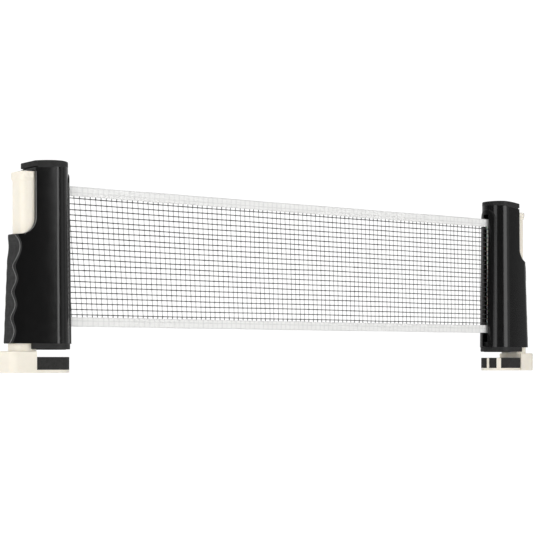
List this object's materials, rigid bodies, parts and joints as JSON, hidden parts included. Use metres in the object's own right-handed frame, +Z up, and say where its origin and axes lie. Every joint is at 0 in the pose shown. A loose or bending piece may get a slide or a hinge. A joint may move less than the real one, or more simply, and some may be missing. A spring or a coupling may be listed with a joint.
{
  "type": "table tennis net with clamp posts",
  "caption": "Retractable table tennis net: mesh net with white tapes between two black spring-clamp posts, wound on a sprung reel in the left post.",
  "frame": {"origin": "on the surface that the lower jaws stand on, half way between the two posts", "axes": "+X along the net from the left post (the reel) to the right post; +Y across the net, away from the side seen in the picture; +Z up"},
  "size_m": [0.68, 0.038, 0.1955],
  "materials": {
    "black_housing": "satin black moulding",
    "black_cap": "matte black moulding",
    "grip_rubber": "matte black with a fine diagonal rib",
    "cream_plastic": "smooth off-white moulding",
    "pad_rubber": "matte black",
    "spring_steel": "oiled spring wire",
    "steel": "bright",
    "white_nylon": "natural nylon",
    "black_net": "knotted nylon mesh",
    "white_tape": "woven tape, stitched"
  },
  "bodies": {
    "left_post": {"left_housing": "black_housing", "left_top_cap": "black_cap", "left_bottom_cap": "black_cap", "left_upper_pad": "pad_rubber", "left_grip": "grip_rubber", "left_spring_seat": "black_cap", "left_spring_rod": "steel", "left_return_spring": "spring_steel", "left_top_screws": "steel", "left_base_screws": "steel", "reel_axle": "steel", "reel_spring_collar": "white_nylon", "reel_spring": "spring_steel"},
    "left_jaw": {"left_slider": "cream_plastic", "left_jaw_pad": "pad_rubber"},
    "reel": {"reel_spool": "white_nylon", "reel_top_bush": "white_nylon", "reel_bottom_bush": "white_nylon", "reel_spring_plug": "white_nylon", "net_roll": "black_net"},
    "net_lead": {"net_mesh": "black_net", "net_top_tape": "white_tape", "net_bottom_tape": "white_tape"},
    "right_post": {"right_housing": "black_housing", "right_top_cap": "black_cap", "right_bottom_cap": "black_cap", "right_upper_pad": "pad_rubber", "right_grip": "grip_rubber", "right_spring_seat": "black_cap", "right_spring_rod": "steel", "right_return_spring": "spring_steel", "right_top_screws": "steel", "right_base_screws": "steel", "anchor_rod": "steel", "anchor_clip": "white_nylon"},
    "right_jaw": {"right_slider": "cream_plastic", "right_jaw_pad": "pad_rubber"}
  },
  "joints": [
    {"name": "left_clamp", "type": "slide", "parent": "left_post", "child": "left_jaw", "axis": [0, 0, -1], "range_m": [0, 0.04], "stiffness_N_per_m": 400, "springref_m": -0.025, "deforming": ["left_return_spring"]},
    {"name": "net_unroll", "type": "slide", "parent": "left_post", "child": "net_lead", "axis": [1, 0, 0], "range_m": [0, 1.15]},
    {"name": "net_rewind", "type": "slide", "parent": "net_lead", "child": "right_post", "axis": [1, 0, 0], "range_m": [-0.54, 0], "deforming": ["net_mesh", "net_top_tape", "net_bottom_tape"]},
    {"name": "reel_turn", "type": "hinge", "parent": "left_post", "child": "reel", "pos_m": [-0.293, 0, 0.1], "axis": [0, 0, 1], "range_deg": [0, 6870], "deforming": ["reel_spring"]},
    {"name": "right_clamp", "type": "slide", "parent": "right_post", "child": "right_jaw", "axis": [0, 0, -1], "range_m": [0, 0.04], "stiffness_N_per_m": 400, "springref_m": -0.025, "deforming": ["right_return_spring"]}
  ],
  "couplings": [
    {"joint": "reel_turn", "follows": "net_unroll", "rad_per_m": 104}
  ]
}
